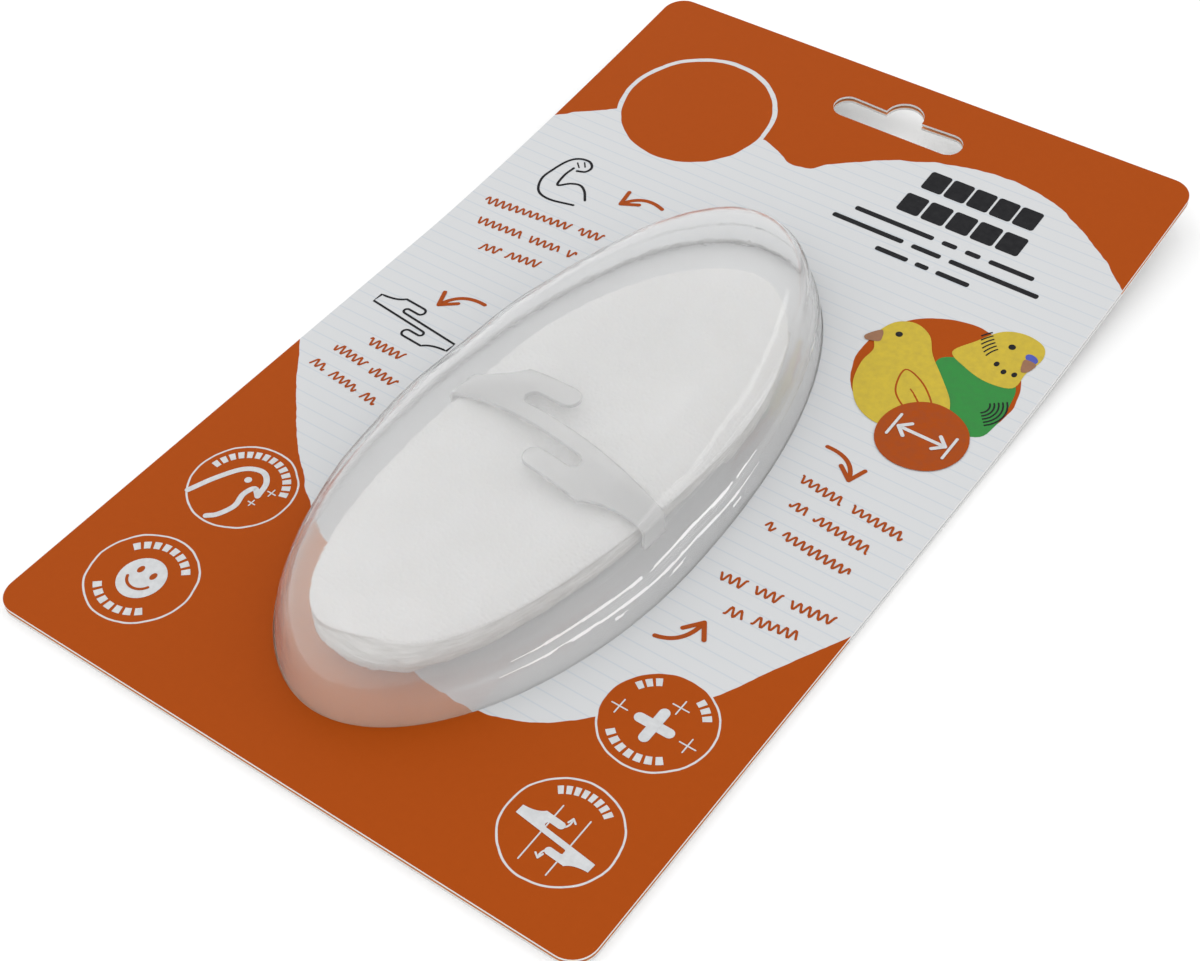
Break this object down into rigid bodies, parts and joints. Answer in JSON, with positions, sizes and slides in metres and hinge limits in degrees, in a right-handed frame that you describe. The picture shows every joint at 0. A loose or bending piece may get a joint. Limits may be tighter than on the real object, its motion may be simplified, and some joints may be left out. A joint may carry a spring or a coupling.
{
  "type": "cuttlebone in blister pack",
  "caption": "Whole cuttlebone with a clear clip for hanging it on cage wires, held under a clear egg-shaped blister on a hanging card of two printed leaves.",
  "frame": {"origin": "on the card's back, at the centre of its outline", "axes": "+Z out of the card's front, +Y along the card towards the hang slot, +X across the card"},
  "size_m": [0.135, 0.224, 0.0196],
  "materials": {
    "bone": "matte",
    "clear_plastic": "gloss",
    "clip_plastic": "gloss",
    "printed_board": "satin",
    "plain_board": "matte"
  },
  "bodies": {
    "root": {"cuttlebone": "bone", "clip": "clip_plastic", "blister": "clear_plastic", "card_front": "printed_board", "card_back": "plain_board"}
  },
  "joints": []
}
